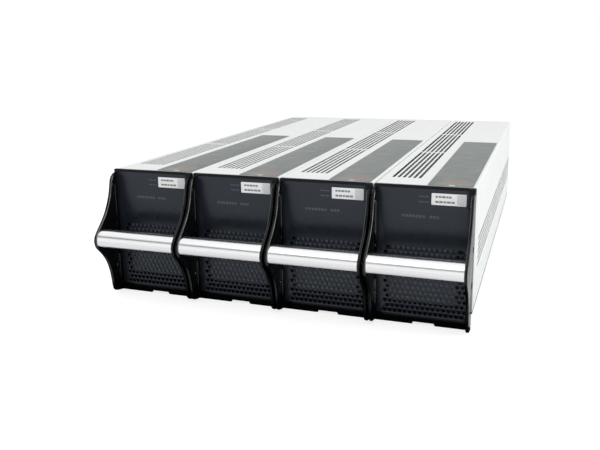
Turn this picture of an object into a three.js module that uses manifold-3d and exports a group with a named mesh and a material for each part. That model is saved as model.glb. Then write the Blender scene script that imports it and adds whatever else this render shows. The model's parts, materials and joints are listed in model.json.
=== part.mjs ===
// A row of four hot-swap battery units for a 19-inch rack.
//
// Units: millimetres. +Z up, -Y is the front (the grab bars), +X to the right seen from the front.
// Origin: centre of the row's bounding box in X and Y, at the bottom edge of the front bezels in Z.
// Each unit is a long steel box (folded outer cover over a base pan) with a moulded front bezel whose
// two side cheeks carry an aluminium grab bar. Inside are two layers of four sealed 12 V blocks lying
// on their sides, a pad between the layers, the wiring, a string fuse and a rear power connector.

import * as THREE from 'three';
import { mergeVertices } from 'three/addons/utils/BufferGeometryUtils.js';
import Module from 'manifold-3d';

const wasm = await Module();
wasm.setup();

// ---------------------------------------------------------------- driving dimensions
const UNITS = 4;
const PITCH = 109;            // bay pitch across the rack
const BEZEL_HALF = 53.1;      // half width of the front bezel
const BODY_HALF = 54.0;       // half width of the steel box
const BEZEL_H = 157;          // bezel's top edge
const SKIRT = 19;             // underside of the box
const TOP_Z = 156.2;          // top face of the steel box
const SHEET = 1.2;            // steel thickness
const BODY_Y0 = 3.3;          // front edge of the outer cover, behind the bezel face
const BODY_Y1 = 638;          // rear edge of the outer cover
const BODY_END = 640;         // rearmost face (connector flange)
const PANEL_T = 3;            // bezel panel thickness
const CHEEK_T = 2.4;          // side cheek thickness
const NOSE_Y = -50;           // foremost point of the cheeks
const PANEL_Z0 = 2;           // bottom edge of the bezel, which is the row's lowest point
const NOTCH_X = [-8.5, 14];  // notch in the bezel's bottom edge
const NOTCH_H = 4.6;
const LINER_Y = 4.2;          // rear of the liner behind the bezel's skirt
const LEDGE_H = 2.6;          // visible edge of the base pan
const VENT_PITCH = 5.9;
const VENT_W = 3.5;
const TOP_VENTS = 6;
const TOP_VENT_X0 = -41.7;      // first top slot's centre line
const SIDE_VENTS = 5;
const SIDE_VENT_W = 4;
const SIDE_VENT_Z0 = 62;      // first side slot's centre line
const SIDE_VENT_PITCH = 7.4;
const VENT_Y = [[43, 231], [234, 421], [424, 612]];
const LABEL = { x: [2.5, 50], y: [8, 342], t: 0.3, gap: 0.12 };
const STICKER = { x: [8.5, 44.5], z: [137.2, 149.7], t: 0.3, gap: 0.12 };
const BAFFLE = { x: [-36, 36.5], y: [3.15, 4.35], z: [26.5, 96] };  // dust baffle behind the bezel's perforation
const BLOCK = { l: 151, t: 65, h: 94 };  // one 12 V block: length, thickness, height without terminals
const BLOCK_GAP = 1;
const BLOCK_X0 = -50.5;
const BLOCK_Y0 = 8;
const LOWER_Z = 20.6;
const PAD_T = 1.6;
const FIT = 0.3;              // clearance between touching pieces

// Side outline of a cheek, front edge, from the top down: [y, z]
const CHEEK = [
  [1.9, 152.9], [-3.6, 152.0], [-8.0, 149.4], [-11.0, 145.0], [-13.0, 137.2], [-15.9, 127.3], [-20.6, 117.0],
  [-27.0, 106.5], [-34.3, 98.2], [-42.6, 90.2], [-48.0, 84.0], [-50.0, 79.2], [-50.0, 75.2], [-47.6, 69.0],
  [-41.0, 62.3], [-34.0, 54.4], [-28.4, 45.5], [-24.0, 34.6], [-21.4, 23.0], [-19.8, 12.4], [-18.0, 7.8], [-14.6, 5.2], [-9.0, 3.5], [-2.0, 2.2],
];

// Section of the grab bar, counter-clockwise seen from +X: [y, z]
const BAR = [
  [-33.0, 87.6], [-36.0, 88.9], [-40.0, 88.9], [-43.6, 87.0], [-46.6, 84.0], [-48.3, 80.6], [-48.9, 77.4],
  [-48.5, 74.2], [-47.0, 71.6], [-44.4, 69.8], [-41.0, 69.0], [-37.0, 69.2], [-34.0, 70.2], [-33.0, 71.6],
];

const BAR_C = [-41, 79];      // where the bar's end screws go: [y, z]

// ---------------------------------------------------------------- helpers
function toSolid(geometry) {
  const g = geometry.clone();
  g.deleteAttribute('normal');
  g.deleteAttribute('uv');
  const m = mergeVertices(g, 1e-5);
  return new wasm.Manifold(new wasm.Mesh({
    numProp: 3,
    vertProperties: new Float32Array(m.attributes.position.array),
    triVerts: new Uint32Array(m.index.array),
  }));
}

function toGeometry(solid) {
  const mesh = solid.getMesh();
  const g = new THREE.BufferGeometry();
  g.setAttribute('position', new THREE.BufferAttribute(new Float32Array(mesh.vertProperties), 3));
  g.setIndex(new THREE.BufferAttribute(new Uint32Array(mesh.triVerts), 1));
  g.computeVertexNormals();
  return g;
}

const union = (list) => list.reduce((a, b) => a.add(b));
const cut = (a, list) => list.reduce((s, b) => s.subtract(b), a);

// a box between two corners
function box([x0, x1], [y0, y1], [z0, z1]) {
  const g = new THREE.BoxGeometry(x1 - x0, y1 - y0, z1 - z0);
  g.translate((x0 + x1) / 2, (y0 + y1) / 2, (z0 + z1) / 2);
  return toSolid(g);
}

// a YZ outline carried along X
function alongX(points, x0, x1) {
  const shape = new THREE.Shape(points.map(([y, z]) => new THREE.Vector2(y, z)));
  const g = new THREE.ExtrudeGeometry(shape, { depth: x1 - x0, bevelEnabled: false });
  // shape X -> row Y, shape Y -> row Z, depth -> row X
  g.applyMatrix4(new THREE.Matrix4().set(0, 0, 1, x0, 1, 0, 0, 0, 0, 1, 0, 0, 0, 0, 0, 1));
  return toSolid(g);
}

// an XZ outline carried along Y
function alongY(points, y0, y1) {
  const shape = new THREE.Shape(points.map(([x, z]) => new THREE.Vector2(x, z)));
  const g = new THREE.ExtrudeGeometry(shape, { depth: y1 - y0, bevelEnabled: false });
  // shape X -> row X, shape Y -> row Z, depth -> row -Y
  g.applyMatrix4(new THREE.Matrix4().set(1, 0, 0, 0, 0, 0, -1, y1, 0, 1, 0, 0, 0, 0, 0, 1));
  return toSolid(g);
}

// a turned piece: profile [r, h] from axis to axis, pointing along the given row axis
function turned(profile, segments, place) {
  const g = new THREE.LatheGeometry(profile.map(([r, h]) => new THREE.Vector2(r, h)), segments);
  g.applyMatrix4(place);
  return toSolid(g);
}

// ---------------------------------------------------------------- materials
const M = {
  white: new THREE.MeshStandardMaterial({ color: 0xe9edea, roughness: 0.45, metalness: 0.1 }),
  zinc: new THREE.MeshStandardMaterial({ color: 0xb4b8ba, roughness: 0.4, metalness: 0.8 }),
  black: new THREE.MeshStandardMaterial({ color: 0x22252a, roughness: 0.32, metalness: 0 }),
  alu: new THREE.MeshStandardMaterial({ color: 0xe4e6e8, roughness: 0.28, metalness: 1 }),
  greygreen: new THREE.MeshStandardMaterial({ color: 0x8a918e, roughness: 0.5, metalness: 0 }),
  paper: new THREE.MeshStandardMaterial({ color: 0xf2f3f2, roughness: 0.55, metalness: 0 }),
  abs: new THREE.MeshStandardMaterial({ color: 0x2e3134, roughness: 0.55, metalness: 0 }),
  foam: new THREE.MeshStandardMaterial({ color: 0x55585c, roughness: 0.95, metalness: 0 }),
  wire: new THREE.MeshStandardMaterial({ color: 0xb02020, roughness: 0.4, metalness: 0 }),
  connector: new THREE.MeshStandardMaterial({ color: 0x3a3d42, roughness: 0.45, metalness: 0 }),
  ceramic: new THREE.MeshStandardMaterial({ color: 0xd8d2c2, roughness: 0.5, metalness: 0 }),
  screw: new THREE.MeshStandardMaterial({ color: 0x9a9ea2, roughness: 0.3, metalness: 1 }),
};

// ---------------------------------------------------------------- one unit's pieces, in its own bay frame
// X is measured from the bay's centre line, Y from the bezel face, Z from 2 mm below the bezel's bottom edge.

// folded steel wrap: top and both sides, open front, rear and bottom, with vent slots in all three faces
function outerCover() {
  const z0 = SKIRT + LEDGE_H + FIT;
  const shell = alongY([
    [-BODY_HALF, z0], [-BODY_HALF + SHEET, z0], [-BODY_HALF + SHEET, TOP_Z - SHEET],
    [BODY_HALF - SHEET, TOP_Z - SHEET], [BODY_HALF - SHEET, z0], [BODY_HALF, z0],
    [BODY_HALF, TOP_Z - 0.9], [BODY_HALF - 0.9, TOP_Z], [-BODY_HALF + 0.9, TOP_Z], [-BODY_HALF, TOP_Z - 0.9],
  ], BODY_Y0, BODY_Y1);
  const slots = [];
  for (const y of VENT_Y) {
    for (let i = 0; i < TOP_VENTS; i++) {
      const x = TOP_VENT_X0 + i * VENT_PITCH;
      slots.push(box([x - VENT_W / 2, x + VENT_W / 2], y, [TOP_Z - 3, TOP_Z + 2]));
    }
    for (let i = 0; i < SIDE_VENTS; i++) {
      const z = SIDE_VENT_Z0 + i * SIDE_VENT_PITCH;
      slots.push(box([-BODY_HALF - 2, BODY_HALF + 2], y, [z - SIDE_VENT_W / 2, z + SIDE_VENT_W / 2]));
    }
  }
  return cut(shell, slots);
}

// base pan: floor with a thick edge, upturned flanges, front wall with its air window, rear wall
function basePan() {
  const s = SHEET, inner = BODY_HALF - SHEET - FIT;
  const top = TOP_Z - SHEET - FIT;
  const front = [BODY_Y0 + 1.2, BODY_Y0 + 1.2 + s];
  const rear = [BODY_Y1 - s, BODY_Y1];
  const pan = union([
    box([-BODY_HALF, BODY_HALF], [BODY_Y0 + 1.2, BODY_Y1], [SKIRT, SKIRT + s]),
    box([-BODY_HALF, -BODY_HALF + 1.1], [BODY_Y0 + 1.2, BODY_Y1], [SKIRT, SKIRT + LEDGE_H]),
    box([BODY_HALF - 1.1, BODY_HALF], [BODY_Y0 + 1.2, BODY_Y1], [SKIRT, SKIRT + LEDGE_H]),
    box([-inner, -inner + s], [BODY_Y0 + 1.2, BODY_Y1], [SKIRT, SKIRT + 15]),
    box([inner - s, inner], [BODY_Y0 + 1.2, BODY_Y1], [SKIRT, SKIRT + 15]),
    box([-inner, inner], front, [SKIRT, top]),
    box([-inner, inner], rear, [SKIRT, top]),
  ]);
  return cut(pan, [
    box([-50, 50], [BODY_Y0, BODY_Y0 + 4], [24, 92]),
    box([-30.6, 30.6], [BODY_Y1 - 5, BODY_Y1 + 5], [57.4, 84.6]),
  ]);
}

// front bezel: flat panel with a notched bottom edge and two curved side cheeks
function frontBezel() {
  const panel = alongY([
    [-BEZEL_HALF, PANEL_Z0], [NOTCH_X[0] - 2, PANEL_Z0], [NOTCH_X[0], NOTCH_H], [NOTCH_X[1], NOTCH_H],
    [NOTCH_X[1] + 2, PANEL_Z0], [BEZEL_HALF, PANEL_Z0], [BEZEL_HALF, BEZEL_H - 1], [BEZEL_HALF - 1, BEZEL_H],
    [-BEZEL_HALF + 1, BEZEL_H], [-BEZEL_HALF, BEZEL_H - 1],
  ], 0, PANEL_T);
  const outline = [[PANEL_T, 152.9], ...CHEEK, [PANEL_T, PANEL_Z0]];
  const cheekL = alongX(outline, -BEZEL_HALF, -BEZEL_HALF + CHEEK_T);
  const cheekR = alongX(outline, BEZEL_HALF - CHEEK_T, BEZEL_HALF);
  // corner fillets where the panel meets the cheeks
  const c = BEZEL_HALF - CHEEK_T;
  const fillet = (s) => box(s > 0 ? [c - 1.6, c + 0.5] : [-c - 0.5, -c + 1.6], [-1.6, 1], [8, 148]);
  // countersunk holes in the cheeks for the bar's screws
  const sink = (s) => turned([[0, -3], [2.3, -3], [2.3, 0.2], [4.3, 2.0], [4.3, 4], [0, 4]], 12,
    new THREE.Matrix4().set(0, s, 0, s * (BEZEL_HALF - CHEEK_T), 0, 0, s, BAR_C[0], 1, 0, 0, BAR_C[1], 0, 0, 0, 1));
  // liner that closes the skirt's perforation, in front of the box
  const liner = box([-50, 50], [PANEL_T - 0.5, LINER_Y], [5.2, SKIRT - FIT]);
  return cut(union([panel, cheekL, cheekR, fillet(-1), fillet(1), liner]), [sink(-1), sink(1)]);
}

// grab bar: drawn aluminium section between the cheeks, tapped at both ends
function handleBar() {
  const half = BEZEL_HALF - CHEEK_T - FIT;
  const bar = alongX(BAR, -half, half);
  const bore = (s) => turned([[0, 0], [2.3, 0], [2.3, 14], [0, 14]], 12,
    new THREE.Matrix4().set(0, s, 0, s * (half - 13), 0, 0, s, BAR_C[0], 1, 0, 0, BAR_C[1], 0, 0, 0, 1));
  return cut(bar, [bore(-1), bore(1)]);
}

// countersunk screw through a cheek into the bar's end
function handleScrew(s) {
  return turned([[0, 0], [2.0, 0], [2.0, 12.3], [3.9, 14.2], [3.9, 14.5], [1.4, 14.5], [1.4, 13.2], [0, 13.2]], 12,
    new THREE.Matrix4().set(0, s, 0, s * (BEZEL_HALF - 14.7), 0, 0, s, BAR_C[0], 1, 0, 0, BAR_C[1], 0, 0, 0, 1));
}

// four sealed blocks on their sides, end to end, with their terminal tabs to the right
function blockRow(z0, tabZ) {
  const list = [];
  for (let i = 0; i < 4; i++) {
    const y0 = BLOCK_Y0 + i * (BLOCK.l + BLOCK_GAP);
    const y1 = y0 + BLOCK.l, x1 = BLOCK_X0 + BLOCK.h, z1 = z0 + BLOCK.t;
    list.push(alongY([
      [BLOCK_X0, z0 + 1], [BLOCK_X0 + 1, z0], [x1 - 1, z0], [x1, z0 + 1],
      [x1, z1 - 1], [x1 - 1, z1], [BLOCK_X0 + 1, z1], [BLOCK_X0, z1 - 1],
    ], y0, y1));
    for (const y of [y0 + 12, y1 - 12]) list.push(box([x1 - 2, x1 + 5.6], [y - 3.15, y + 3.15], [z0 + tabZ - 0.4, z0 + tabZ + 0.4]));
    // tape between neighbouring blocks
    if (i < 3) list.push(box([BLOCK_X0 + 20, x1 - 20], [y1 - 0.5, y1 + BLOCK_GAP + 0.5], [z0 + 12, z1 - 12]));
  }
  return union(list);
}

// loom along the terminal side: out along the lower row, up at the front, back along the upper row
function tube(points, r, steps) {
  const path = new THREE.CatmullRomCurve3(points.map((p) => new THREE.Vector3(...p)), false, 'centripetal');
  const ring = new THREE.Shape();
  for (let i = 0; i < 6; i++) {
    const a = (i / 6) * Math.PI * 2;
    const p = [r * Math.cos(a), r * Math.sin(a)];
    if (i === 0) ring.moveTo(...p); else ring.lineTo(...p);
  }
  ring.closePath();
  return toSolid(new THREE.ExtrudeGeometry(ring, { steps, extrudePath: path, bevelEnabled: false }));
}

function wiringHarness() {
  const x = 49, low = 60, high = 115, r = 1.9;
  return union([
    tube([[20, 619.8, 71], [28, 619.8, 69.6], [37, 619.8, 66], [44.4, 618.9, 62.4], [48.3, 613, 60.3], [x, 603, low], [x, 595, low]], r, 8),
    tube([[x, 598, low], [x, 20, low]], r, 1),
    tube([[x, 24, low], [x, 19, low], [x, 13.4, 62.6], [x, 11.2, 68], [x, 11.2, 88], [x, 11.2, 107], [x, 13.4, 112.4], [x, 19, high], [x, 24, high]], r, 16),
    tube([[x, 20, high], [x, 598, high]], r, 1),
    tube([[x, 595, high], [x, 603, high], [48.4, 612, high], [44.4, 618.6, 115.4], [37, 620, 116], [30, 620, 116]], r, 7),
  ]);
}

// blind-mate power connector in the rear wall: flange outside, body inside, four blade slots
function rearConnector() {
  const body = union([
    box([-36, 36], [BODY_Y1 + FIT, BODY_END], [53, 89]),
    box([-30, 30], [BODY_Y1 - 16, BODY_Y1 + 1], [58, 84]),
  ]);
  const slots = [-21, -7, 7, 21].map((x) => box([x - 1.5, x + 1.5], [BODY_Y1 - 12, BODY_END + 1], [65, 77]));
  return cut(body, slots);
}

// string fuse: ceramic barrel with end caps, lying across behind the upper row
function stringFuse() {
  const p = [[0, 0], [5.2, 0], [5.2, 8], [4.8, 8], [4.8, 30], [5.2, 30], [5.2, 38], [0, 38]];
  return turned(p, 16, new THREE.Matrix4().set(0, 1, 0, -10, 0, 0, 1, 624, 1, 0, 0, 116, 0, 0, 0, 1));
}

const LOWER_TOP = LOWER_Z + BLOCK.t;
const UPPER_Z = LOWER_TOP + FIT + PAD_T + FIT;

const PIECES = [
  ['outer_cover', () => outerCover(), M.white],
  ['base_pan', () => basePan(), M.zinc],
  ['front_bezel', () => frontBezel(), M.black],
  ['front_baffle', () => box(BAFFLE.x, BAFFLE.y, BAFFLE.z), M.foam],
  ['handle_bar', () => handleBar(), M.alu],
  ['handle_screw_left', () => handleScrew(-1), M.screw],
  ['handle_screw_right', () => handleScrew(1), M.screw],
  ['top_label', () => box(LABEL.x, LABEL.y, [TOP_Z + LABEL.gap, TOP_Z + LABEL.gap + LABEL.t]), M.greygreen],
  ['front_sticker', () => box(STICKER.x, [-STICKER.gap - STICKER.t, -STICKER.gap], STICKER.z), M.paper],
  ['lower_block_row', () => blockRow(LOWER_Z, 46), M.abs],
  ['upper_block_row', () => blockRow(UPPER_Z, 19), M.abs],
  ['divider_pad', () => box([BLOCK_X0 + 2, BLOCK_X0 + BLOCK.h - 2], [BLOCK_Y0 + 2, BLOCK_Y0 + 4 * BLOCK.l], [LOWER_TOP + FIT, LOWER_TOP + FIT + PAD_T]), M.foam],
  ['wiring_harness', () => wiringHarness(), M.wire],
  ['rear_connector', () => rearConnector(), M.connector],
  ['string_fuse', () => stringFuse(), M.ceramic],
];

// ---------------------------------------------------------------- assembly
const row = new THREE.Group();
row.name = 'battery_row';
// the row's depth runs from the cheeks' noses to the connector flange
row.position.y = -(NOSE_Y + BODY_END) / 2;
row.position.z = -PANEL_Z0;
const shapes = PIECES.map(([name, make, material]) => [name, toGeometry(make()), material]);
for (let n = 1; n <= UNITS; n++) {
  const unit = new THREE.Group();
  unit.name = `unit_${n}`;
  unit.position.x = (n - (UNITS + 1) / 2) * PITCH;
  for (const [name, geometry, material] of shapes) {
    const mesh = new THREE.Mesh(geometry, material);
    mesh.name = `${name}_${n}`;
    unit.add(mesh);
  }
  row.add(unit);
}

export default row;
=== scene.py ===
"""Row of four hot-swap rack battery units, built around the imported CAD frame.

Lengths in the tables are millimetres in a unit's own bay frame: X from the bay's centre line,
Y from the bezel's front face (front is -Y), Z from 2 mm below the bezel's bottom edge.
"""
import json
import math

import bmesh
import bpy
from mathutils import Matrix, Vector

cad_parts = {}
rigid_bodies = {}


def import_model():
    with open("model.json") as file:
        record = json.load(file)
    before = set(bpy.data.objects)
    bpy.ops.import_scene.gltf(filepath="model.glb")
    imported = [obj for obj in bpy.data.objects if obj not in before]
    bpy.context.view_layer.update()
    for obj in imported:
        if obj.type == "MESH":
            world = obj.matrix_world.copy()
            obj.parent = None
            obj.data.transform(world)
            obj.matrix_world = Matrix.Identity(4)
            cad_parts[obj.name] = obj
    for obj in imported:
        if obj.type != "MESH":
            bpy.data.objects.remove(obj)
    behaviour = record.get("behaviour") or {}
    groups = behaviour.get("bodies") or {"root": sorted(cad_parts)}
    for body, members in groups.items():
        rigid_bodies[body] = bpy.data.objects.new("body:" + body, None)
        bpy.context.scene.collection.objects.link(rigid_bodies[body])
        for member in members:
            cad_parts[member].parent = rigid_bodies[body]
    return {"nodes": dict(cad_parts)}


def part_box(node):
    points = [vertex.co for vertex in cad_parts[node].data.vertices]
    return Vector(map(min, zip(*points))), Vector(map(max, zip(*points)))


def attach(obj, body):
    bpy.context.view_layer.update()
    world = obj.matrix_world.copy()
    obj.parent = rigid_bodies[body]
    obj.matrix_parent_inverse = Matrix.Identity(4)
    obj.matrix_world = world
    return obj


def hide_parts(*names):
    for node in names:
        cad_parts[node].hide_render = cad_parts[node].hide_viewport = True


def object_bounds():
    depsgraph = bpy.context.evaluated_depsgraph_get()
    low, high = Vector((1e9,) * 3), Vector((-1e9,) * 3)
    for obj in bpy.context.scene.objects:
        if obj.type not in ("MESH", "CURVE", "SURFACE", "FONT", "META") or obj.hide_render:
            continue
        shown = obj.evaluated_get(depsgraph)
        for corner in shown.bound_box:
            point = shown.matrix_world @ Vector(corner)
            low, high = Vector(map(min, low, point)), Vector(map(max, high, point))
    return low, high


scene = bpy.context.scene
for o in list(bpy.data.objects):
    bpy.data.objects.remove(o)

# ------------------------------------------------------------------ camera
AZ, EL, ROLL = math.radians(19.728), math.radians(11.89), math.radians(-0.763)
back = Vector((math.sin(AZ) * math.cos(EL), -math.cos(AZ) * math.cos(EL), math.sin(EL)))
side = Vector((0, 0, 1)).cross(back).normalized()
up = back.cross(side)
right_r = side * math.cos(ROLL) + up * math.sin(ROLL)
up_r = up * math.cos(ROLL) - side * math.sin(ROLL)
cam_data = bpy.data.cameras.new("camera")
cam_data.sensor_width = 36.0
cam_data.lens = 41.656
cam_data.shift_y = -0.06
cam_data.clip_start, cam_data.clip_end = 0.02, 40
cam = bpy.data.objects.new("camera", cam_data)
scene.collection.objects.link(cam)
cam.matrix_world = Matrix((
    (right_r.x, up_r.x, back.x, 0.2818),
    (right_r.y, up_r.y, back.y, -1.0088),
    (right_r.z, up_r.z, back.z, 0.3031),
    (0, 0, 0, 1)))
scene.camera = cam

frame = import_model()
cad_lo, cad_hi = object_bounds()
NODES = frame["nodes"]
UNITS = (1, 2, 3, 4)

# ------------------------------------------------------------------ dimensions (mm, as in the CAD source)
BEZEL_HALF, BODY_HALF, BEZEL_H = 53.1, 54.0, 157.0
TOP_Z, SHEET, BODY_Y0, BODY_Y1 = 156.2, 1.2, 3.3, 638.0
SKIRT, LEDGE_H, FIT = 19.0, 2.6, 0.3
PANEL_T, CHEEK_T = 3.0, 2.4
VENT_W, VENT_PITCH, TOP_VENT_X0, SIDE_VENT_W, SIDE_VENT_Z0, SIDE_VENT_PITCH = 3.5, 5.9, -41.7, 4.0, 62.0, 7.4
VENT_Y = ((43, 231), (234, 421), (424, 612))
PANEL_Z0, WEB_T, LINER_Y = 2.0, 1.7, 4.2
BAFFLE = ((-36, 36.5), (26.5, 96))
LABEL = ((2.5, 50), (8, 342), 0.3, 0.12)
STICKER = ((8.5, 44.5), (137.2, 149.7), 0.3, 0.12)
CHEEK = [
    (1.9, 152.9), (-3.6, 152.0), (-8.0, 149.4), (-11.0, 145.0), (-13.0, 137.2), (-15.9, 127.3), (-20.6, 117.0),
    (-27.0, 106.5), (-34.3, 98.2), (-42.6, 90.2), (-48.0, 84.0), (-50.0, 79.2), (-50.0, 75.2), (-47.6, 69.0),
    (-41.0, 62.3), (-34.0, 54.4), (-28.4, 45.5), (-24.0, 34.6), (-21.4, 23.0), (-19.8, 12.4), (-18.0, 7.8),
    (-14.6, 5.2), (-9.0, 3.5), (-2.0, 2.2)]
BAR = [
    (-33.0, 87.6), (-36.0, 88.9), (-40.0, 88.9), (-43.6, 87.0), (-46.6, 84.0), (-48.3, 80.6), (-48.9, 77.4),
    (-48.5, 74.2), (-47.0, 71.6), (-44.4, 69.8), (-41.0, 69.0), (-37.0, 69.2), (-34.0, 70.2), (-33.0, 71.6)]
BAR_C = (-41, 79)
HOLE_P, HOLE_ROWS, HOLE_COLS, HOLE_R = 5.57, 14, 16, 1.95
HOLE_X0, HOLE_Z0, HOLE_ROW = -40.0, 14.9, 5.6
MM = 0.001


def origin(n):
    """The unit's own origin in the row frame, from the CAD bezel's box."""
    lo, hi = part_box(f"front_bezel_{n}")
    return Vector(((lo.x + hi.x) / 2, hi.y - LINER_Y * MM, lo.z - PANEL_Z0 * MM))


# ------------------------------------------------------------------ materials
def node_material(name, colour, rough, metal=0.0, **sockets):
    m = bpy.data.materials.new(name)
    m.use_nodes = True
    nt = m.node_tree
    b = nt.nodes["Principled BSDF"]
    b.inputs["Base Color"].default_value = (*colour, 1)
    b.inputs["Roughness"].default_value = rough
    b.inputs["Metallic"].default_value = metal
    for k, v in sockets.items():
        b.inputs[k.replace("_", " ")].default_value = v
    m.diffuse_color = (*colour, 1)
    return m, nt, b


def mapping(nt, scale, loc=(0, 0, 0)):
    tc = nt.nodes.new("ShaderNodeTexCoord")
    mp = nt.nodes.new("ShaderNodeMapping")
    mp.inputs["Scale"].default_value = scale
    mp.inputs["Location"].default_value = loc
    nt.links.new(tc.outputs["Object"], mp.inputs["Vector"])
    return mp.outputs["Vector"]


def noise(nt, vec, scale, detail=3.0, rough=0.55):
    n = nt.nodes.new("ShaderNodeTexNoise")
    n.inputs["Scale"].default_value = scale
    n.inputs["Detail"].default_value = detail
    n.inputs["Roughness"].default_value = rough
    nt.links.new(vec, n.inputs["Vector"])
    return n.outputs["Fac"]


def ramp(nt, fac, stops):
    r = nt.nodes.new("ShaderNodeValToRGB")
    els = r.color_ramp.elements
    while len(els) < len(stops):
        els.new(0.5)
    for e, (p, c) in zip(els, stops):
        e.position = p
        e.color = (*c, 1) if len(c) == 3 else c
    nt.links.new(fac, r.inputs["Fac"])
    return r.outputs["Color"]


def to_range(nt, fac, a, b):
    r = nt.nodes.new("ShaderNodeMapRange")
    r.inputs["From Min"].default_value = 0.3
    r.inputs["From Max"].default_value = 0.7
    r.inputs["To Min"].default_value = a
    r.inputs["To Max"].default_value = b
    nt.links.new(fac, r.inputs["Value"])
    return r.outputs["Result"]


def bump(nt, b, height, strength, distance):
    n = nt.nodes.new("ShaderNodeBump")
    n.inputs["Strength"].default_value = strength
    n.inputs["Distance"].default_value = distance
    nt.links.new(height, n.inputs["Height"])
    nt.links.new(n.outputs["Normal"], b.inputs["Normal"])


def shade(colour, k):
    return tuple(min(1.0, c * k) for c in colour)


def textured(name, colour, rough, metal=0.0, spread=0.06, scale=60.0, stretch=(1, 1, 1),
             rough_spread=0.05, bump_scale=900.0, bump_strength=0.15, bump_distance=0.0001, **sockets):
    """Colour mottling, roughness variation and a fine surface bump, from object coordinates."""
    m, nt, b = node_material(name, colour, rough, metal, **sockets)
    v = mapping(nt, stretch)
    f = noise(nt, v, scale)
    nt.links.new(ramp(nt, f, [(0.3, shade(colour, 1 - spread)), (0.7, shade(colour, 1 + spread))]), b.inputs["Base Color"])
    nt.links.new(to_range(nt, noise(nt, v, scale * 2.7), rough - rough_spread, rough + rough_spread), b.inputs["Roughness"])
    if bump_strength:
        bump(nt, b, noise(nt, v, bump_scale, 2.0), bump_strength, bump_distance)
    return m


MAT = {}
MAT["steel"] = textured("white_powder_coat", (0.745, 0.770, 0.757), 0.42, spread=0.012, scale=14, rough_spread=0.05,
                        bump_scale=1500, bump_strength=0.10, bump_distance=0.00008)
MAT["zinc"] = textured("zinc_plate", (0.19, 0.197, 0.20), 0.42, 0.85, spread=0.10, scale=120, rough_spread=0.08,
                       bump_scale=700, bump_strength=0.08)
MAT["black"] = textured("bezel_plastic", (0.0024, 0.0028, 0.0036), 0.15, spread=0.15, scale=25, rough_spread=0.03,
                        bump_scale=1100, bump_strength=0.03, bump_distance=0.00004, IOR=1.28)
MAT["gloss"] = textured("bezel_polished", (0.0030, 0.0034, 0.0042), 0.10, spread=0.15, scale=25, rough_spread=0.02,
                        bump_scale=1100, bump_strength=0.03, bump_distance=0.00004, IOR=1.85)
MAT["panel"] = textured("bezel_panel_satin", (0.0095, 0.0125, 0.0190), 0.30, spread=0.08, scale=25, rough_spread=0.04,
                        bump_scale=2200, bump_strength=0.10, bump_distance=0.00004,
                        Specular_Tint=(0.84, 0.92, 1.0, 1.0))
MAT["bar"] = textured("satin_anodised", (0.915, 0.92, 0.927), 0.25, 1.0, spread=0.02, scale=90, stretch=(0.06, 1, 1),
                      rough_spread=0.03, bump_scale=2600, bump_strength=0.05, bump_distance=0.00003)
MAT["screw"] = textured("plated_screw", (0.40, 0.40, 0.41), 0.28, 1.0, spread=0.10, scale=300, bump_scale=1500, bump_strength=0.05)
MAT["case"] = textured("block_case", (0.022, 0.024, 0.027), 0.5, spread=0.15, scale=90, bump_scale=1400, bump_strength=0.3)
MAT["foam"] = textured("dust_foam", (0.135, 0.145, 0.162), 0.95, spread=0.25, scale=700, bump_scale=1800, bump_strength=0.7, bump_distance=0.0004)
MAT["wire"] = textured("wire_sleeve", (0.42, 0.02, 0.02), 0.36, spread=0.12, scale=150, bump_scale=900, bump_strength=0.1)
MAT["wire_black"] = textured("wire_sleeve_black", (0.012, 0.012, 0.013), 0.36, spread=0.12, scale=150, bump_scale=900, bump_strength=0.1)
MAT["connector"] = textured("connector_plastic", (0.030, 0.033, 0.036), 0.42, spread=0.12, scale=150, bump_scale=1300, bump_strength=0.25)
MAT["ceramic"] = textured("fuse_ceramic", (0.72, 0.68, 0.58), 0.35, spread=0.05, scale=200, bump_scale=900, bump_strength=0.1)
MAT["copper"] = textured("tinned_contact", (0.75, 0.70, 0.58), 0.25, 1.0, spread=0.08, scale=300, bump_scale=900, bump_strength=0.05)
MAT["rubber"] = textured("bumper_rubber", (0.02, 0.02, 0.021), 0.7, spread=0.12, scale=300, bump_scale=1800, bump_strength=0.4)


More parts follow.
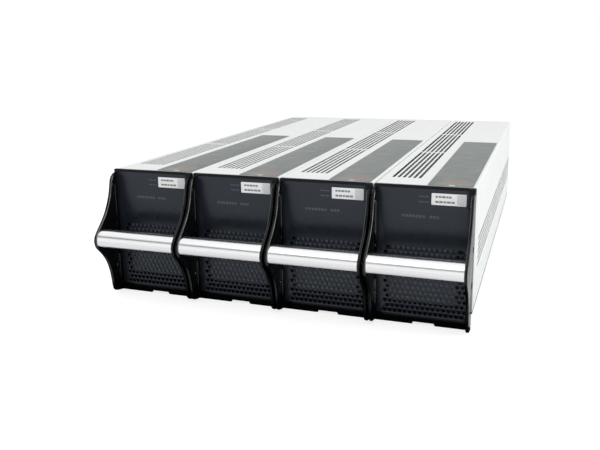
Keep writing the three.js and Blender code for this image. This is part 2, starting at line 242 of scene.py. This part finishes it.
def label_material():
    """Grey-green printed film: fine print texture, a red band, a soft tinted band and rows of greeked print; the pale
    mark near the front edge is a separate piece in label_mesh.
    """
    base = (0.131, 0.151, 0.142)
    m, nt, b = node_material("printed_film", base, 0.46)
    v = mapping(nt, (1, 1, 1))
    col = ramp(nt, noise(nt, v, 900, 4), [(0.3, shade(base, 0.93)), (0.7, shade(base, 1.07))])
    sep = nt.nodes.new("ShaderNodeSeparateXYZ")
    nt.links.new(v, sep.inputs["Vector"])

    def band(sock, lo, hi, soft):
        """1 inside lo..hi, falling to 0 over soft."""
        out = []
        for a, c in ((lo - soft, lo), (hi + soft, hi)):
            r = nt.nodes.new("ShaderNodeMapRange")
            r.inputs["From Min"].default_value, r.inputs["From Max"].default_value = a, c
            nt.links.new(sock, r.inputs["Value"])
            out.append(r.outputs["Result"])
        mul = nt.nodes.new("ShaderNodeMath")
        mul.operation = "MULTIPLY"
        nt.links.new(out[0], mul.inputs[0])
        nt.links.new(out[1], mul.inputs[1])
        return mul.outputs["Value"]

    def mix_in(prev, mask, colour, amount):
        x = nt.nodes.new("ShaderNodeMath")
        x.operation = "MULTIPLY"
        x.inputs[1].default_value = amount
        nt.links.new(mask, x.inputs[0])
        mx = nt.nodes.new("ShaderNodeMix")
        mx.data_type = "RGBA"
        mx.inputs[7].default_value = (*colour, 1)
        nt.links.new(x.outputs["Value"], mx.inputs[0])
        nt.links.new(prev, mx.inputs[6])
        return mx.outputs[2]

    def both(p, q):
        x = nt.nodes.new("ShaderNodeMath")
        x.operation = "MULTIPLY"
        nt.links.new(p, x.inputs[0])
        nt.links.new(q, x.inputs[1])
        return x.outputs["Value"]

    red = both(band(sep.outputs["X"], 0.014, 0.042, 0.001), band(sep.outputs["Y"], 0.027, 0.041, 0.0025))
    col = mix_in(col, red, (0.222, 0.145, 0.138), 0.9)
    warm = both(band(sep.outputs["X"], 0.012, 0.044, 0.004), band(sep.outputs["Y"], 0.010, 0.024, 0.006))
    col = mix_in(col, warm, (0.20, 0.195, 0.175), 0.5)
    # rows of greeked print, too fine to read
    w = nt.nodes.new("ShaderNodeTexWave")
    w.wave_type, w.bands_direction = "BANDS", "Y"
    w.inputs["Scale"].default_value = 90
    w.inputs["Distortion"].default_value = 0.4
    nt.links.new(v, w.inputs["Vector"])
    print_mask = both(w.outputs["Fac"], band(sep.outputs["Y"], 0.055, 0.30, 0.003))
    col = mix_in(col, both(print_mask, band(sep.outputs["X"], 0.007, 0.046, 0.001)), (0.135, 0.155, 0.146), 0.35)
    nt.links.new(col, b.inputs["Base Color"])
    nt.links.new(to_range(nt, noise(nt, v, 60), 0.42, 0.52), b.inputs["Roughness"])
    bump(nt, b, noise(nt, v, 1500), 0.05, 0.00005)
    return m


MAT["label"] = label_material()
MAT["label_mark"] = textured("label_mark", (0.66, 0.68, 0.64), 0.5, spread=0.04, scale=300, bump_scale=900, bump_strength=0.05)
MAT["paper"] = textured("label_paper", (0.86, 0.87, 0.87), 0.5, spread=0.012, scale=200, bump_scale=1500, bump_strength=0.08)
MAT["paper_grey"] = textured("label_paper_grey", (0.62, 0.64, 0.65), 0.5, spread=0.10, scale=160, bump_scale=1500, bump_strength=0.08)
MAT["ink"] = textured("label_ink", (0.20, 0.20, 0.21), 0.5, spread=0.55, scale=1500, stretch=(1, 1, 0.2), bump_scale=1500, bump_strength=0.05)
MAT["print"] = textured("bezel_print", (0.055, 0.060, 0.070), 0.4, spread=0.5, scale=1500, stretch=(1, 1, 0.2), bump_scale=1500, bump_strength=0.05)


# ------------------------------------------------------------------ mesh helpers
def curve_solid(loops, half, bevel=0.0, res=1):
    """A flat outline with holes, given a thickness of 2*half with rounded edges, centred on Z=0. mm in, mm out."""
    cu = bpy.data.curves.new("tmp", "CURVE")
    cu.dimensions, cu.fill_mode = "2D", "BOTH"
    cu.extrude = half - bevel
    cu.bevel_depth, cu.bevel_resolution, cu.offset = bevel, res, -bevel
    for pts in loops:
        sp = cu.splines.new("POLY")
        sp.points.add(len(pts) - 1)
        for p, (x, y) in zip(sp.points, pts):
            p.co = (x, y, 0, 1)
        sp.use_cyclic_u = True
    ob = bpy.data.objects.new("tmp", cu)
    scene.collection.objects.link(ob)
    dg = bpy.context.evaluated_depsgraph_get()
    me = bpy.data.meshes.new_from_object(ob.evaluated_get(dg))
    bpy.data.objects.remove(ob)
    bpy.data.curves.remove(cu)
    bm = bmesh.new()
    bm.from_mesh(me)
    bpy.data.meshes.remove(me)
    bmesh.ops.remove_doubles(bm, verts=bm.verts, dist=1e-4)
    bmesh.ops.recalc_face_normals(bm, faces=bm.faces)
    return bm


def xz(y_mid):
    """Outline X,Y becomes X,Z; thickness runs along Y about y_mid."""
    return Matrix(((1, 0, 0, 0), (0, 0, -1, y_mid), (0, 1, 0, 0), (0, 0, 0, 1)))


def yz(x_mid):
    """Outline X,Y becomes Y,Z; thickness runs along X about x_mid."""
    return Matrix(((0, 0, 1, x_mid), (1, 0, 0, 0), (0, 1, 0, 0), (0, 0, 0, 1)))


def xy(z_mid):
    return Matrix.Translation((0, 0, z_mid))


def box_bm(x, y, z, bevel=0.0, segs=2):
    bm = bmesh.new()
    bmesh.ops.create_cube(bm, size=1.0)
    for v in bm.verts:
        v.co = Vector((x[0] + (v.co.x + 0.5) * (x[1] - x[0]), y[0] + (v.co.y + 0.5) * (y[1] - y[0]), z[0] + (v.co.z + 0.5) * (z[1] - z[0])))
    if bevel:
        bmesh.ops.bevel(bm, geom=bm.edges[:], offset=bevel, segments=segs, affect="EDGES", profile=0.5)
    return bm


def lathe_bm(profile, axis, at, segs=28):
    """Turned solid: profile [(radius, height)...] from axis to axis, along +X/-X/+Y/-Y/+Z/-Z at a point."""
    bm = bmesh.new()
    d = {"+X": Vector((1, 0, 0)), "-X": Vector((-1, 0, 0)), "+Y": Vector((0, 1, 0)), "-Y": Vector((0, -1, 0)),
         "+Z": Vector((0, 0, 1)), "-Z": Vector((0, 0, -1))}[axis]
    e1 = d.orthogonal().normalized()
    e2 = d.cross(e1)
    rings = []
    for r, h in profile:
        c = Vector(at) + d * h
        if r < 1e-6:
            rings.append([bm.verts.new(c)])
        else:
            rings.append([bm.verts.new(c + (e1 * math.cos(t) + e2 * math.sin(t)) * r) for t in (2 * math.pi * i / segs for i in range(segs))])
    for a, b in zip(rings, rings[1:]):
        for i in range(segs):
            j = (i + 1) % segs
            q = [a[i % len(a)], a[j % len(a)], b[j % len(b)], b[i % len(b)]]
            q = [v for k, v in enumerate(q) if v not in q[:k]]
            if len(q) > 2:
                bm.faces.new(q)
    bmesh.ops.recalc_face_normals(bm, faces=bm.faces)
    return bm


def smooth_line(pts, n, closed=False):
    """Catmull-Rom through the points, n steps a span."""
    out, m = [], len(pts)
    spans = m if closed else m - 1
    for i in range(spans):
        g = (lambda k: Vector(pts[k % m])) if closed else (lambda k: Vector(pts[min(max(k, 0), m - 1)]))
        p0, p1, p2, p3 = g(i - 1), g(i), g(i + 1), g(i + 2)
        for s in range(n):
            t = s / n
            out.append(0.5 * ((2 * p1) + (p2 - p0) * t + (2 * p0 - 5 * p1 + 4 * p2 - p3) * t * t + (3 * p1 - p0 - 3 * p2 + p3) * t ** 3))
    if not closed:
        out.append(Vector(pts[-1]))
    return [tuple(p) for p in out]


def circle(cx, cy, r, n=14):
    return [(cx + r * math.cos(2 * math.pi * i / n), cy + r * math.sin(2 * math.pi * i / n)) for i in range(n)]


def slot_loop(x0, x1, y0, y1, n=4):
    """A slot with round ends, long along Y."""
    r, cx = (x1 - x0) / 2, (x0 + x1) / 2
    pts = [(cx + r * math.cos(math.pi * i / n), y1 - r + r * math.sin(math.pi * i / n)) for i in range(n + 1)]
    return pts + [(cx - r * math.cos(math.pi * i / n), y0 + r - r * math.sin(math.pi * i / n)) for i in range(n + 1)]


def rounded(x0, x1, y0, y1, r, n=4):
    pts = []
    for cx, cy, a in ((x1 - r, y1 - r, 0), (x0 + r, y1 - r, 90), (x0 + r, y0 + r, 180), (x1 - r, y0 + r, 270)):
        pts += [(cx + r * math.cos(math.radians(a + 90 * i / n)), cy + r * math.sin(math.radians(a + 90 * i / n))) for i in range(n + 1)]
    return pts


def strip_bm(section, x0, x1):
    """A closed YZ section carried along X."""
    bm = bmesh.new()
    a = [bm.verts.new((x0, y, z)) for y, z in section]
    b = [bm.verts.new((x1, y, z)) for y, z in section]
    n = len(section)
    for i in range(n):
        bm.faces.new((a[i], a[(i + 1) % n], b[(i + 1) % n], b[i]))
    bm.faces.new(a[::-1])
    bm.faces.new(b)
    bmesh.ops.recalc_face_normals(bm, faces=bm.faces)
    return bm


class Piece:
    """Collects solids, each with its material, into one mesh."""

    def __init__(self):
        self.bm = bmesh.new()
        self.mats = []

    def add(self, bm, mat, matrix=None):
        if mat not in self.mats:
            self.mats.append(mat)
        if matrix is not None:
            bm.transform(matrix)
        for f in bm.faces:
            f.material_index = self.mats.index(mat)
        me = bpy.data.meshes.new("tmp")
        bm.to_mesh(me)
        bm.free()
        self.bm.from_mesh(me)
        bpy.data.meshes.remove(me)
        return self

    def mesh(self, name, angle=32):
        me = bpy.data.meshes.new(name)
        self.bm.transform(Matrix.Scale(MM, 4))
        self.bm.to_mesh(me)
        self.bm.free()
        for mat in self.mats:
            me.materials.append(MAT[mat])
        me.polygons.foreach_set("use_smooth", [True] * len(me.polygons))
        me.set_sharp_from_angle(angle=math.radians(angle))
        me.update()
        return me


def place(mesh, name, n, replaces=()):
    ob = bpy.data.objects.new(f"{name}_{n}", mesh)
    scene.collection.objects.link(ob)
    ob.location = origin(n)
    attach(ob, f"unit_{n}")
    if replaces:
        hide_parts(*[f"{r}_{n}" for r in replaces])
    return ob


# ------------------------------------------------------------------ front bezel
def bezel_mesh():
    p = Piece()
    h = BEZEL_HALF
    outline = [(-h, PANEL_Z0), (-12.4, PANEL_Z0), (-11.8, 2.0), (-9.2, 2.0), (-8.5, 4.6), (14.0, 4.6), (15.6, PANEL_Z0), (h, PANEL_Z0),
               (h, 155.4), (h - 0.6, 156.6), (h - 1.6, BEZEL_H), (-h + 1.6, BEZEL_H), (-h + 0.6, 156.6), (-h, 155.4)]
    loops = [outline]
    for k in range(HOLE_ROWS):
        for i in range(HOLE_COLS):
            loops.append(circle(HOLE_X0 + HOLE_P * (i + 0.5 * (k % 2)), HOLE_Z0 + HOLE_ROW * k, HOLE_R, 12))
    p.add(curve_solid(loops, WEB_T / 2, 0.25, 1), "panel", xz(WEB_T / 2))
    # thicker rim behind the web, and the liner that closes the skirt
    rim = [[(x * 0.9995, z if z > 10 else z + 0.02) for x, z in outline], rounded(-47, 49, 9, 98, 3)]
    p.add(curve_solid(rim, (PANEL_T - WEB_T) / 2 + 0.02, 0, 0), "black", xz((PANEL_T + WEB_T) / 2 - 0.02))
    p.add(box_bm((-50, 50), (PANEL_T - 0.1, LINER_Y), (5.2, 25.9), 0.2, 1), "black")
    # thin raised glossy strip along the notched bottom edge, near-black instead of the panel's satin: painted shade
    # where the panel darkens towards the floor
    shade_strip = [(x, z + 0.05) for x, z in outline[:8]] + [(h, 11.6), (-h, 11.6)]
    p.add(curve_solid([shade_strip], 0.35, 0.12, 1), "black", xz(-0.05))
    # raised lip along the top edge
    p.add(strip_bm([(0.2, 153.6), (-0.5, 153.9), (-0.8, 154.6), (-0.8, 156.0), (-0.3, 156.8), (0.6, 156.8)], -h + 0.8, h - 0.8), "black")
    outline = smooth_line(CHEEK, 4)
    outline = [(PANEL_T, 152.9)] + outline + [(PANEL_T, PANEL_Z0)]
    for s in (-1, 1):
        mid = s * (h - CHEEK_T / 2)
        sink = circle(BAR_C[0], BAR_C[1], 4.3, 24)
        p.add(curve_solid([outline, sink], CHEEK_T / 2, 0.7, 2), "black", yz(mid))
        # countersunk seat ring round the bar screw
        prof = [(4.35, 0.05), (2.3, 0.05), (2.3, -0.55), (4.35, -2.25)]
        inner = s * (h - CHEEK_T)
        ring = lathe_bm([(r, 2.3 + z) for r, z in prof] + [(4.35, 2.35)], "+X" if s > 0 else "-X", (inner, BAR_C[0], BAR_C[1]), 24)
        p.add(ring, "black")
        # rib that stiffens the cheek's front edge on its inner face
        rib = smooth_line(CHEEK[1:-1], 4)
        p.add(rib_bm(rib, s), "gloss")
        # root fillet and guide rail on the inner face
        x_in = s * (h - CHEEK_T)
        p.add(box_bm(sorted((x_in - s * 1.6, x_in + s * 0.4)), (-1.6, 0.6), (8, 148), 0.7, 2), "black")
        for z0, z1 in ((9, 51), (88, 139)):
            p.add(box_bm(sorted((x_in - s * 1.5, x_in + s * 0.4)), (-5.6, -4.1), (z0, z1), 0.45, 2), "gloss")
        for y, z in ((-9.6, 139.0), (-9.6, 37.0)):
            p.add(lathe_bm([(0, -0.4), (2.0, -0.4), (2.0, 0.9), (1.5, 1.5), (0, 1.6)], "-X" if s > 0 else "+X", (x_in, y, z), 16), "gloss")
        # snap recesses at the cheek's root show as two raised dark tabs on the outer face
        for z in (91, 52):
            p.add(box_bm(sorted((s * (h - 0.9), s * (h + 0.5))), (-1.2, 3.0), (z - 3.2, z + 3.2), 0.35, 1), "black")
    # top corner hooks that reach back over the steel box's edge
    p.add(box_bm((h - 6.4, h + 0.4), (-1.9, 3.0), (149.4, 156.95), 0.6, 2), "black")
    p.add(box_bm((h - 0.05, h + 0.85), (1.0, 3.2), (149.6, 156.7), 0.2, 1), "black")
    p.add(lathe_bm([(0, -0.2), (2.3, -0.2), (2.3, 0.5), (1.6, 1.0), (0, 1.1)], "-Y", (-h + 4.4, 0, 154.2), 20), "black")
    # small release tab beside the label
    p.add(box_bm((45.6, 49.2), (-1.3, 0.4), (135.2, 138.4), 0.4, 2), "black")
    # generic print: a row of short dashes and two rows of short bars
    for x0, x1, z, t in ((-22.8, 17.6, 122.2, 2.9),):
        n = 11
        for i in range(n):
            if i == 7:
                continue
            a = x0 + (x1 - x0) * i / n
            p.add(box_bm((a + 0.4, a + (x1 - x0) / n - 0.5), (-0.06, 0.1), (z, z + t)), "print")
    for z in (139.0, 144.8):
        for a, b in ((-5.0, 0.2), (1.0, 5.6)):
            p.add(box_bm((a, b), (-0.06, 0.1), (z, z + 1.3)), "print")
    return p.mesh("bezel_mesh", 35)


def rib_bm(line, s):
    """A half-round bead along the cheek's front edge, on the inner face."""
    bm = bmesh.new()
    x_in = s * (BEZEL_HALF - CHEEK_T)
    rings = []
    for i, (y, z) in enumerate(line):
        a = Vector(line[max(i - 1, 0)])
        b = Vector(line[min(i + 1, len(line) - 1)])
        t = (b - a).normalized()
        nrm = Vector((-t.y, t.x))
        if nrm.x < 0:
            nrm = -nrm
        c = Vector((y, z)) + nrm * 1.45
        k = min(1.0, i / 4, (len(line) - 1 - i) / 4)
        k = max(k, 0.05)
        ring = []
        for a_ in range(7):
            t_ = math.pi * a_ / 6
            off = nrm * (math.cos(t_) * 1.35)
            ring.append(bm.verts.new((x_in - s * math.sin(t_) * 1.2 * k + s * 0.2, c.x + off.x, c.y + off.y)))
        rings.append(ring)
    for a, b in zip(rings, rings[1:]):
        for i in range(7):
            j = (i + 1) % 7
            bm.faces.new((a[i], a[j], b[j], b[i]))
    bm.faces.new(rings[0][::-1])
    bm.faces.new(rings[-1])
    bmesh.ops.recalc_face_normals(bm, faces=bm.faces)
    return bm


def baffle_mesh():
    p = Piece()
    (x0, x1), (z0, z1) = BAFFLE
    p.add(curve_solid([rounded(x0, x1, z0, z1, 2)], 1.15, 0.3, 1), "foam", xz(WEB_T + 0.1 + 1.15))
    return p.mesh("baffle_mesh", 32)


# ------------------------------------------------------------------ grab bar and its screws
def bar_mesh():
    p = Piece()
    half = BEZEL_HALF - CHEEK_T - FIT
    sec = smooth_line(BAR, 9, closed=True)
    # fine drawn groove a third of the way down the face
    out = []
    for y, z in sec:
        d = abs(z - 80.6)
        if y < -42 and d < 0.6:
            y += 0.03 * (1 + math.cos(math.pi * d / 0.6)) / 2
        out.append((y, z))
    c = Vector((-41.0, 79.0))
    bm = bmesh.new()
    rings = []
    for x, k in ((-half, 0.45), (-half + 0.15, 0.13), (-half + 0.45, 0.0), (-half + 1.2, 0.0), (half - 1.2, 0.0), (half - 0.45, 0.0), (half - 0.15, 0.13), (half, 0.45)):
        ring = []
        for q in out:
            d = Vector(q) - c
            v = c + d * (1 - k / d.length)
            ring.append(bm.verts.new((x, v.x, v.y)))
        rings.append(ring)
    m = len(out)
    for ra, rb in zip(rings, rings[1:]):
        for i in range(m):
            bm.faces.new((ra[i], ra[(i + 1) % m], rb[(i + 1) % m], rb[i]))
    bm.faces.new(rings[0][::-1])
    bm.faces.new(rings[-1])
    bmesh.ops.recalc_face_normals(bm, faces=bm.faces)
    p.add(bm, "bar")
    return p.mesh("bar_mesh", 28)


def screw_mesh(s):
    p = Piece()
    axis = "+X" if s > 0 else "-X"
    at = (s * (BEZEL_HALF - CHEEK_T - 12.3), BAR_C[0], BAR_C[1])
    prof = [(0, 0), (1.6, 0), (2.0, 0.5), (2.0, 12.3), (3.8, 14.1), (3.85, 14.35), (3.6, 14.5), (2.2, 14.62), (1.9, 14.6), (1.85, 13.2), (0.6, 12.9), (0, 12.9)]
    p.add(lathe_bm(prof, axis, at, 28), "screw")
    return p.mesh("screw_mesh", 32)


# ------------------------------------------------------------------ steel cover
def cover_mesh():
    p = Piece()
    r = 2.0
    y0, y1 = BODY_Y0, BODY_Y1
    # top sheet
    loops = [[(-BODY_HALF + r, y0), (BODY_HALF - r, y0), (BODY_HALF - r, y1), (-BODY_HALF + r, y1)]]
    for a, b in VENT_Y:
        for i in range(6):
            x = TOP_VENT_X0 + i * VENT_PITCH
            loops.append(slot_loop(x - VENT_W / 2, x + VENT_W / 2, a, b))
    p.add(curve_solid(loops, 0.35, 0, 0), "steel", xy(TOP_Z - 0.35))
    # sides
    z0 = SKIRT + LEDGE_H + FIT
    for s in (-1, 1):
        loops = [[(y0, z0), (y1, z0), (y1, TOP_Z - r), (y0, TOP_Z - r)]]
        for a, b in VENT_Y:
            for i in range(5):
                z = SIDE_VENT_Z0 + i * SIDE_VENT_PITCH
                loops.append([(v, u) for u, v in slot_loop(z - SIDE_VENT_W / 2, z + SIDE_VENT_W / 2, a, b)])
        p.add(curve_solid(loops, SHEET / 2, 0, 0), "steel", yz(s * (BODY_HALF - SHEET / 2)))
        # bend
        bm = bmesh.new()
        cx, cz = s * (BODY_HALF - r), TOP_Z - r
        rings = []
        for y in (y0, y1):
            ring = [bm.verts.new((cx + s * r * math.sin(t), y, cz + r * math.cos(t))) for t in (math.pi / 2 * i / 6 for i in range(7))]
            ring += [bm.verts.new((cx + s * (r - SHEET) * math.sin(t), y, cz + (r - SHEET) * math.cos(t))) for t in (math.pi / 2 * i / 6 for i in range(6, -1, -1))]
            rings.append(ring)
        m = len(rings[0])
        for i in range(m):
            bm.faces.new((rings[0][i], rings[0][(i + 1) % m], rings[1][(i + 1) % m], rings[1][i]))
        bm.faces.new(rings[0][::-1])
        bm.faces.new(rings[1])
        bmesh.ops.recalc_face_normals(bm, faces=bm.faces)
        p.add(bm, "steel")
        # blind rivets that hold the cover to the pan's flange
        for y in (26, 180, 327, 474, 618):
            p.add(lathe_bm([(0, -0.3), (2.4, -0.3), (2.4, 0.05), (1.9, 0.35), (0.9, 0.42), (0.8, 0.1), (0, 0.1)], "+X" if s > 0 else "-X", (s * BODY_HALF, y, 29.5), 16), "steel")
    return p.mesh("cover_mesh", 30)


# ------------------------------------------------------------------ labels
def label_mesh():
    p = Piece()
    (x0, x1), (y0, y1), t, gap = LABEL
    z = TOP_Z + gap
    p.add(curve_solid([rounded(x0, x1, y0, y1, 1.5)], t / 2, 0.08, 1), "label", xy(z + t / 2))
    p.add(box_bm((24.5, 31.0), (y0 + 1.4, y0 + 4.6), (z + t - 0.02, z + t + 0.06)), "label_mark")
    return p.mesh("label_mesh", 30)


def sticker_mesh():
    p = Piece()
    (x0, x1), (z0, z1), t, gap = STICKER
    y_face = -gap - t
    p.add(curve_solid([rounded(x0, x1, z0, z1, 0.8)], t / 2, 0.06, 1), "paper", xz(-gap - t / 2))
    # greeked lines: short bars of varied length, no characters
    def bars(z, h, xs):
        for a, b in xs:
            p.add(box_bm((a, b), (y_face - 0.05, y_face + 0.1), (z, z + h)), "ink")
    bars(145.0, 2.1, ((x0 + 4.2, x0 + 6.6), (x0 + 7.4, x0 + 10.2), (x0 + 10.9, x0 + 14.6), (x0 + 15.3, x0 + 17.6), (x0 + 18.2, x0 + 20.8)))
    bars(139.6, 2.1, ((x0 + 4.2, x0 + 7.4), (x0 + 8.1, x0 + 12.0), (x0 + 12.8, x0 + 15.0), (x0 + 15.8, x0 + 19.9), (x0 + 20.6, x0 + 24.0)))
    p.add(box_bm((x1 - 9.5, x1 - 0.5), (y_face - 0.04, y_face + 0.1), (z0 + 0.6, z1 - 0.6)), "paper_grey")
    return p.mesh("sticker_mesh", 30)


# ------------------------------------------------------------------ rear connector
def connector_mesh():
    p = Piece()
    yb = BODY_Y1
    slots = [rounded(x - 1.5, x + 1.5, 65, 77, 0.6, 3) for x in (-21, -7, 7, 21)]
    flange = [rounded(-36, 36, 53, 89, 3)] + slots + [circle(x, 71, 1.9, 18) for x in (-32.2, 32.2)]
    p.add(curve_solid(flange, (640 - yb - FIT) / 2, 0.35, 2), "connector", xz((640 + yb + FIT) / 2))
    body = [rounded(-30, 30, 58, 84, 2)] + slots
    p.add(curve_solid(body, 8.5, 0.3, 1), "connector", xz(yb - 7.5))
    for x in (-32.2, 32.2):
        p.add(lathe_bm([(0, 0), (1.8, 0), (1.8, 1.3), (1.4, 1.6), (0.7, 1.6), (0.6, 1.0), (0, 1.0)], "+Y", (x, yb + 0.1, 71), 18), "screw")
    for x in (-21, -7, 7, 21):
        for s in (-1, 1):
            p.add(box_bm(sorted((x + s * 0.75, x + s * 1.35)), (yb - 14, yb + 0.6), (65.6, 76.4), 0.15, 1), "copper")
    return p.mesh("connector_mesh", 32)


meshes = {
    "front_bezel": bezel_mesh(), "front_baffle": baffle_mesh(), "handle_bar": bar_mesh(), "handle_screw_left": screw_mesh(-1), "handle_screw_right": screw_mesh(1),
    "outer_cover": cover_mesh(), "top_label": label_mesh(), "front_sticker": sticker_mesh(), "rear_connector": connector_mesh()}
for n in UNITS:
    for name, me in meshes.items():
        place(me, f"{name}_look", n, (name,))

# carried-over CAD nodes keep their shape and take a procedural finish
CARRIED = {"base_pan": "zinc", "lower_block_row": "case", "upper_block_row": "case", "divider_pad": "foam",
           "wiring_harness": "wire", "string_fuse": "ceramic"}
for n in UNITS:
    for name, mat in CARRIED.items():
        ob = NODES[f"{name}_{n}"]
        ob.data.materials.clear()
        ob.data.materials.append(MAT[mat])

# ------------------------------------------------------------------ stage and light
def plane(name, z, mat):
    me = bpy.data.meshes.new(name)
    s = 12.0
    me.from_pydata([(-s, -s, 0), (s, -s, 0), (s, s, 0), (-s, s, 0)], [], [(0, 1, 2, 3)])
    me.materials.append(mat)
    ob = bpy.data.objects.new(name, me)
    scene.collection.objects.link(ob)
    ob.location.z = z
    return ob


# the floor that is seen, and a white one that only lights the object and shows in its reflections
seen_mat = textured("floor_white", (0.42, 0.42, 0.42), 0.8, spread=0.004, scale=2, bump_strength=0)
sb = seen_mat.node_tree.nodes["Principled BSDF"]
sb.inputs["Specular IOR Level"].default_value = 0.0
sb.inputs["Emission Color"].default_value = (1, 1, 1, 1)
sb.inputs["Emission Strength"].default_value = 0.76
seen = plane("floor_seen", cad_lo.z - 0.0002, seen_mat)
seen.visible_diffuse = seen.visible_glossy = seen.visible_transmission = seen.visible_shadow = False
lit_mat = textured("floor_bounce", (0.80, 0.80, 0.81), 0.8, spread=0.004, scale=2, bump_strength=0)
lit_mat.node_tree.nodes["Principled BSDF"].inputs["Specular IOR Level"].default_value = 0.0
lit = plane("floor_bounce", cad_lo.z - 0.0004, lit_mat)
lit.visible_camera = False

# black patch on the floor just in front of the bezels, unseen by the camera: a painted floor shadow standing in for the
# contact shadow, which darkens the bezels' and bar's reflections of the floor there
shadow_patch_mat = textured("painted_floor_shadow", (0.02, 0.02, 0.02), 0.9, spread=0.02, scale=2, bump_strength=0)
shadow_patch_mat.node_tree.nodes["Principled BSDF"].inputs["Specular IOR Level"].default_value = 0.0
shadow_patch_me = bpy.data.meshes.new("shadow_patch")
fy = cad_lo.y + 0.049
shadow_patch_me.from_pydata([(-0.26, fy - 0.042, 0), (0.26, fy - 0.042, 0), (0.26, fy + 0.01, 0), (-0.26, fy + 0.01, 0)], [], [(0, 1, 2, 3)])
shadow_patch_me.materials.append(shadow_patch_mat)
shadow_patch = bpy.data.objects.new("shadow_patch", shadow_patch_me)
scene.collection.objects.link(shadow_patch)
shadow_patch.location.z = cad_lo.z - 0.0003
shadow_patch.visible_camera = False

world = bpy.data.worlds.new("studio")
world.use_nodes = True
wt = world.node_tree
bg = wt.nodes["Background"]
bg.inputs["Strength"].default_value = 1.0
tc = wt.nodes.new("ShaderNodeTexCoord")
sp = wt.nodes.new("ShaderNodeSeparateXYZ")
wt.links.new(tc.outputs["Generated"], sp.inputs["Vector"])
front = wt.nodes.new("ShaderNodeMapRange")       # 1 towards -Y
front.inputs["From Min"].default_value, front.inputs["From Max"].default_value = 0.0, -0.35
wt.links.new(sp.outputs["Y"], front.inputs["Value"])
dip = wt.nodes.new("ShaderNodeValToRGB")         # the gap between the wall and the overhead softbox
els = dip.color_ramp.elements
for _ in range(3):
    els.new(0.5)
for e, (p_, c_) in zip(els, ((0.0, 0.0), (0.45, 0.0), (0.54, 1.0), (0.63, 1.0), (0.74, 0.0))):
    e.position, e.color = p_, (c_, c_, c_, 1)
wt.links.new(sp.outputs["Z"], dip.inputs["Fac"])
mul = wt.nodes.new("ShaderNodeMath")
mul.operation = "MULTIPLY"
wt.links.new(front.outputs["Result"], mul.inputs[0])
wt.links.new(dip.outputs["Color"], mul.inputs[1])
mx = wt.nodes.new("ShaderNodeMix")
mx.data_type = "RGBA"
mx.inputs[6].default_value = (1.0, 1.0, 1.0, 1)
mx.inputs[7].default_value = (0.13, 0.135, 0.14, 1)
wt.links.new(mul.outputs["Value"], mx.inputs[0])
wt.links.new(mx.outputs[2], bg.inputs["Color"])
scene.world = world


def area(name, loc, target, size, energy, colour=(1, 1, 1)):
    li = bpy.data.lights.new(name, "AREA")
    li.shape, li.size, li.energy, li.color = "SQUARE", size, energy, colour
    ob = bpy.data.objects.new(name, li)
    scene.collection.objects.link(ob)
    ob.location = loc
    ob.rotation_mode = "QUATERNION"
    ob.rotation_quaternion = (Vector(target) - Vector(loc)).to_track_quat("-Z", "Y")
    return ob


area("key", (-0.3, -1.5, 2.4), (0, 0, 0.1), 1.4, 6)
area("right", (2.4, -0.5, 1.0), (0.2, 0.1, 0.08), 1.2, 22)
scene.view_settings.view_transform = "Standard"
scene.view_settings.look = "None"
scene.view_settings.exposure = 0.0
scene.view_settings.gamma = 1.0
